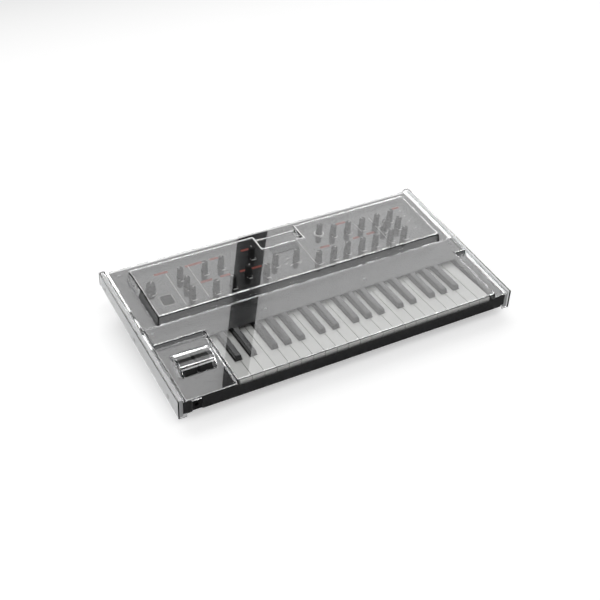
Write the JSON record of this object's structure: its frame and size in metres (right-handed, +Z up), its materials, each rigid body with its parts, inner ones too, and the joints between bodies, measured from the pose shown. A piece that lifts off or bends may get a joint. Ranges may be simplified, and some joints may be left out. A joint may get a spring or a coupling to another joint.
{
  "type": "synthesizer",
  "caption": "Compact three-octave keyboard synthesizer with pitch and modulation wheels, a sloped knob panel and a lift-off clear dust cover.",
  "frame": {"origin": "on the floor under the middle of the body", "axes": "+X to the player's right, +Y to the back, +Z up"},
  "size_m": [0.675, 0.35, 0.0971],
  "materials": {
    "black_case": "fine-textured black moulded plastic",
    "panel_black": "satin black with printed lines and dashes",
    "silver_cheek": "satin light grey",
    "white_key": "polished white",
    "black_key": "satin black",
    "clear_cover": "clear polished polycarbonate",
    "knob_rubber": "soft-touch black",
    "wheel_plastic": "satin black",
    "steel": "zinc-plated sheet",
    "board_green": "green solder mask",
    "foot_rubber": "black rubber",
    "display_glass": "dark gloss window"
  },
  "bodies": {
    "root": {"bottom_case": "black_case", "top_case": "black_case", "front_rail": "black_case", "left_cheek": "silver_cheek", "right_cheek": "silver_cheek", "rear_panel": "black_case", "key_bed": "steel", "main_board": "board_green", "headphone_jack": "black_case", "wheel_bracket": "steel", "control_panel": "panel_black", "display_window": "display_glass", "foot_front_left": "foot_rubber", "foot_front_right": "foot_rubber", "foot_rear_left": "foot_rubber", "foot_rear_right": "foot_rubber"},
    "dust_cover": {"dust_cover": "clear_cover"},
    "pitch_wheel": {"pitch_wheel": "wheel_plastic"},
    "mod_wheel": {"mod_wheel": "wheel_plastic"},
    "volume_knob": {"volume_knob": "knob_rubber"},
    "value_knob": {"value_knob": "knob_rubber"},
    "cutoff_knob": {"cutoff_knob": "knob_rubber"},
    "resonance_knob": {"resonance_knob": "knob_rubber"},
    "white_key_01": {"white_key_01": "white_key"},
    "black_key_01": {"black_key_01": "black_key"},
    "white_key_02": {"white_key_02": "white_key"},
    "black_key_02": {"black_key_02": "black_key"},
    "white_key_03": {"white_key_03": "white_key"},
    "white_key_04": {"white_key_04": "white_key"},
    "black_key_03": {"black_key_03": "black_key"},
    "white_key_05": {"white_key_05": "white_key"},
    "black_key_04": {"black_key_04": "black_key"},
    "white_key_06": {"white_key_06": "white_key"},
    "black_key_05": {"black_key_05": "black_key"},
    "white_key_07": {"white_key_07": "white_key"},
    "white_key_08": {"white_key_08": "white_key"},
    "black_key_06": {"black_key_06": "black_key"},
    "white_key_09": {"white_key_09": "white_key"},
    "black_key_07": {"black_key_07": "black_key"},
    "white_key_10": {"white_key_10": "white_key"},
    "white_key_11": {"white_key_11": "white_key"},
    "black_key_08": {"black_key_08": "black_key"},
    "white_key_12": {"white_key_12": "white_key"},
    "black_key_09": {"black_key_09": "black_key"},
    "white_key_13": {"white_key_13": "white_key"},
    "black_key_10": {"black_key_10": "black_key"},
    "white_key_14": {"white_key_14": "white_key"},
    "white_key_15": {"white_key_15": "white_key"},
    "black_key_11": {"black_key_11": "black_key"},
    "white_key_16": {"white_key_16": "white_key"},
    "black_key_12": {"black_key_12": "black_key"},
    "white_key_17": {"white_key_17": "white_key"},
    "white_key_18": {"white_key_18": "white_key"},
    "black_key_13": {"black_key_13": "black_key"},
    "white_key_19": {"white_key_19": "white_key"},
    "black_key_14": {"black_key_14": "black_key"},
    "white_key_20": {"white_key_20": "white_key"},
    "black_key_15": {"black_key_15": "black_key"},
    "white_key_21": {"white_key_21": "white_key"},
    "white_key_22": {"white_key_22": "white_key"}
  },
  "joints": [
    {"name": "dust_cover_lift", "type": "slide", "parent": "root", "child": "dust_cover", "axis": [0, 0, 1], "range_m": [0, 0.12]},
    {"name": "pitch_wheel_bend", "type": "hinge", "parent": "root", "child": "pitch_wheel", "pos_m": [-0.2893, -0.097, 0.0393], "axis": [1, 0, 0], "range_deg": [-35, 35], "stiffness_Nm_per_rad": 0.05},
    {"name": "mod_wheel_turn", "type": "hinge", "parent": "root", "child": "mod_wheel", "pos_m": [-0.2603, -0.097, 0.0393], "axis": [1, 0, 0], "range_deg": [-35, 35]},
    {"name": "volume_knob_turn", "type": "hinge", "parent": "root", "child": "volume_knob", "pos_m": [-0.26899, 0.097, 0.06935], "axis": [0, -0.0866, 0.9962], "range_deg": [-150, 150]},
    {"name": "value_knob_turn", "type": "hinge", "parent": "root", "child": "value_knob", "pos_m": [0.09351, 0.12199, 0.07152], "axis": [0, -0.0866, 0.9962], "continuous": true},
    {"name": "cutoff_knob_turn", "type": "hinge", "parent": "root", "child": "cutoff_knob", "pos_m": [0.05199, 0.051, 0.06535], "axis": [0, -0.0866, 0.9962], "range_deg": [-150, 150]},
    {"name": "resonance_knob_turn", "type": "hinge", "parent": "root", "child": "resonance_knob", "pos_m": [0.085, 0.051, 0.06535], "axis": [0, -0.0866, 0.9962], "range_deg": [-150, 150]},
    {"name": "white_key_01_press", "type": "hinge", "parent": "root", "child": "white_key_01", "pos_m": [0, 0.0215, 0.04175], "axis": [1, 0, 0], "range_deg": [0, 3], "stiffness_Nm_per_rad": 0.6, "springref_deg": -11.46},
    {"name": "black_key_01_press", "type": "hinge", "parent": "root", "child": "black_key_01", "pos_m": [0, 0.0215, 0.04175], "axis": [1, 0, 0], "range_deg": [0, 3], "stiffness_Nm_per_rad": 0.6, "springref_deg": -11.46},
    {"name": "white_key_02_press", "type": "hinge", "parent": "root", "child": "white_key_02", "pos_m": [0, 0.0215, 0.04175], "axis": [1, 0, 0], "range_deg": [0, 3], "stiffness_Nm_per_rad": 0.6, "springref_deg": -11.46},
    {"name": "black_key_02_press", "type": "hinge", "parent": "root", "child": "black_key_02", "pos_m": [0, 0.0215, 0.04175], "axis": [1, 0, 0], "range_deg": [0, 3], "stiffness_Nm_per_rad": 0.6, "springref_deg": -11.46},
    {"name": "white_key_03_press", "type": "hinge", "parent": "root", "child": "white_key_03", "pos_m": [0, 0.0215, 0.04175], "axis": [1, 0, 0], "range_deg": [0, 3], "stiffness_Nm_per_rad": 0.6, "springref_deg": -11.46},
    {"name": "white_key_04_press", "type": "hinge", "parent": "root", "child": "white_key_04", "pos_m": [0, 0.0215, 0.04175], "axis": [1, 0, 0], "range_deg": [0, 3], "stiffness_Nm_per_rad": 0.6, "springref_deg": -11.46},
    {"name": "black_key_03_press", "type": "hinge", "parent": "root", "child": "black_key_03", "pos_m": [0, 0.0215, 0.04175], "axis": [1, 0, 0], "range_deg": [0, 3], "stiffness_Nm_per_rad": 0.6, "springref_deg": -11.46},
    {"name": "white_key_05_press", "type": "hinge", "parent": "root", "child": "white_key_05", "pos_m": [0, 0.0215, 0.04175], "axis": [1, 0, 0], "range_deg": [0, 3], "stiffness_Nm_per_rad": 0.6, "springref_deg": -11.46},
    {"name": "black_key_04_press", "type": "hinge", "parent": "root", "child": "black_key_04", "pos_m": [0, 0.0215, 0.04175], "axis": [1, 0, 0], "range_deg": [0, 3], "stiffness_Nm_per_rad": 0.6, "springref_deg": -11.46},
    {"name": "white_key_06_press", "type": "hinge", "parent": "root", "child": "white_key_06", "pos_m": [0, 0.0215, 0.04175], "axis": [1, 0, 0], "range_deg": [0, 3], "stiffness_Nm_per_rad": 0.6, "springref_deg": -11.46},
    {"name": "black_key_05_press", "type": "hinge", "parent": "root", "child": "black_key_05", "pos_m": [0, 0.0215, 0.04175], "axis": [1, 0, 0], "range_deg": [0, 3], "stiffness_Nm_per_rad": 0.6, "springref_deg": -11.46},
    {"name": "white_key_07_press", "type": "hinge", "parent": "root", "child": "white_key_07", "pos_m": [0, 0.0215, 0.04175], "axis": [1, 0, 0], "range_deg": [0, 3], "stiffness_Nm_per_rad": 0.6, "springref_deg": -11.46},
    {"name": "white_key_08_press", "type": "hinge", "parent": "root", "child": "white_key_08", "pos_m": [0, 0.0215, 0.04175], "axis": [1, 0, 0], "range_deg": [0, 3], "stiffness_Nm_per_rad": 0.6, "springref_deg": -11.46},
    {"name": "black_key_06_press", "type": "hinge", "parent": "root", "child": "black_key_06", "pos_m": [0, 0.0215, 0.04175], "axis": [1, 0, 0], "range_deg": [0, 3], "stiffness_Nm_per_rad": 0.6, "springref_deg": -11.46},
    {"name": "white_key_09_press", "type": "hinge", "parent": "root", "child": "white_key_09", "pos_m": [0, 0.0215, 0.04175], "axis": [1, 0, 0], "range_deg": [0, 3], "stiffness_Nm_per_rad": 0.6, "springref_deg": -11.46},
    {"name": "black_key_07_press", "type": "hinge", "parent": "root", "child": "black_key_07", "pos_m": [0, 0.0215, 0.04175], "axis": [1, 0, 0], "range_deg": [0, 3], "stiffness_Nm_per_rad": 0.6, "springref_deg": -11.46},
    {"name": "white_key_10_press", "type": "hinge", "parent": "root", "child": "white_key_10", "pos_m": [0, 0.0215, 0.04175], "axis": [1, 0, 0], "range_deg": [0, 3], "stiffness_Nm_per_rad": 0.6, "springref_deg": -11.46},
    {"name": "white_key_11_press", "type": "hinge", "parent": "root", "child": "white_key_11", "pos_m": [0, 0.0215, 0.04175], "axis": [1, 0, 0], "range_deg": [0, 3], "stiffness_Nm_per_rad": 0.6, "springref_deg": -11.46},
    {"name": "black_key_08_press", "type": "hinge", "parent": "root", "child": "black_key_08", "pos_m": [0, 0.0215, 0.04175], "axis": [1, 0, 0], "range_deg": [0, 3], "stiffness_Nm_per_rad": 0.6, "springref_deg": -11.46},
    {"name": "white_key_12_press", "type": "hinge", "parent": "root", "child": "white_key_12", "pos_m": [0, 0.0215, 0.04175], "axis": [1, 0, 0], "range_deg": [0, 3], "stiffness_Nm_per_rad": 0.6, "springref_deg": -11.46},
    {"name": "black_key_09_press", "type": "hinge", "parent": "root", "child": "black_key_09", "pos_m": [0, 0.0215, 0.04175], "axis": [1, 0, 0], "range_deg": [0, 3], "stiffness_Nm_per_rad": 0.6, "springref_deg": -11.46},
    {"name": "white_key_13_press", "type": "hinge", "parent": "root", "child": "white_key_13", "pos_m": [0, 0.0215, 0.04175], "axis": [1, 0, 0], "range_deg": [0, 3], "stiffness_Nm_per_rad": 0.6, "springref_deg": -11.46},
    {"name": "black_key_10_press", "type": "hinge", "parent": "root", "child": "black_key_10", "pos_m": [0, 0.0215, 0.04175], "axis": [1, 0, 0], "range_deg": [0, 3], "stiffness_Nm_per_rad": 0.6, "springref_deg": -11.46},
    {"name": "white_key_14_press", "type": "hinge", "parent": "root", "child": "white_key_14", "pos_m": [0, 0.0215, 0.04175], "axis": [1, 0, 0], "range_deg": [0, 3], "stiffness_Nm_per_rad": 0.6, "springref_deg": -11.46},
    {"name": "white_key_15_press", "type": "hinge", "parent": "root", "child": "white_key_15", "pos_m": [0, 0.0215, 0.04175], "axis": [1, 0, 0], "range_deg": [0, 3], "stiffness_Nm_per_rad": 0.6, "springref_deg": -11.46},
    {"name": "black_key_11_press", "type": "hinge", "parent": "root", "child": "black_key_11", "pos_m": [0, 0.0215, 0.04175], "axis": [1, 0, 0], "range_deg": [0, 3], "stiffness_Nm_per_rad": 0.6, "springref_deg": -11.46},
    {"name": "white_key_16_press", "type": "hinge", "parent": "root", "child": "white_key_16", "pos_m": [0, 0.0215, 0.04175], "axis": [1, 0, 0], "range_deg": [0, 3], "stiffness_Nm_per_rad": 0.6, "springref_deg": -11.46},
    {"name": "black_key_12_press", "type": "hinge", "parent": "root", "child": "black_key_12", "pos_m": [0, 0.0215, 0.04175], "axis": [1, 0, 0], "range_deg": [0, 3], "stiffness_Nm_per_rad": 0.6, "springref_deg": -11.46},
    {"name": "white_key_17_press", "type": "hinge", "parent": "root", "child": "white_key_17", "pos_m": [0, 0.0215, 0.04175], "axis": [1, 0, 0], "range_deg": [0, 3], "stiffness_Nm_per_rad": 0.6, "springref_deg": -11.46},
    {"name": "white_key_18_press", "type": "hinge", "parent": "root", "child": "white_key_18", "pos_m": [0, 0.0215, 0.04175], "axis": [1, 0, 0], "range_deg": [0, 3], "stiffness_Nm_per_rad": 0.6, "springref_deg": -11.46},
    {"name": "black_key_13_press", "type": "hinge", "parent": "root", "child": "black_key_13", "pos_m": [0, 0.0215, 0.04175], "axis": [1, 0, 0], "range_deg": [0, 3], "stiffness_Nm_per_rad": 0.6, "springref_deg": -11.46},
    {"name": "white_key_19_press", "type": "hinge", "parent": "root", "child": "white_key_19", "pos_m": [0, 0.0215, 0.04175], "axis": [1, 0, 0], "range_deg": [0, 3], "stiffness_Nm_per_rad": 0.6, "springref_deg": -11.46},
    {"name": "black_key_14_press", "type": "hinge", "parent": "root", "child": "black_key_14", "pos_m": [0, 0.0215, 0.04175], "axis": [1, 0, 0], "range_deg": [0, 3], "stiffness_Nm_per_rad": 0.6, "springref_deg": -11.46},
    {"name": "white_key_20_press", "type": "hinge", "parent": "root", "child": "white_key_20", "pos_m": [0, 0.0215, 0.04175], "axis": [1, 0, 0], "range_deg": [0, 3], "stiffness_Nm_per_rad": 0.6, "springref_deg": -11.46},
    {"name": "black_key_15_press", "type": "hinge", "parent": "root", "child": "black_key_15", "pos_m": [0, 0.0215, 0.04175], "axis": [1, 0, 0], "range_deg": [0, 3], "stiffness_Nm_per_rad": 0.6, "springref_deg": -11.46},
    {"name": "white_key_21_press", "type": "hinge", "parent": "root", "child": "white_key_21", "pos_m": [0, 0.0215, 0.04175], "axis": [1, 0, 0], "range_deg": [0, 3], "stiffness_Nm_per_rad": 0.6, "springref_deg": -11.46},
    {"name": "white_key_22_press", "type": "hinge", "parent": "root", "child": "white_key_22", "pos_m": [0, 0.0215, 0.04175], "axis": [1, 0, 0], "range_deg": [0, 3], "stiffness_Nm_per_rad": 0.6, "springref_deg": -11.46}
  ]
}
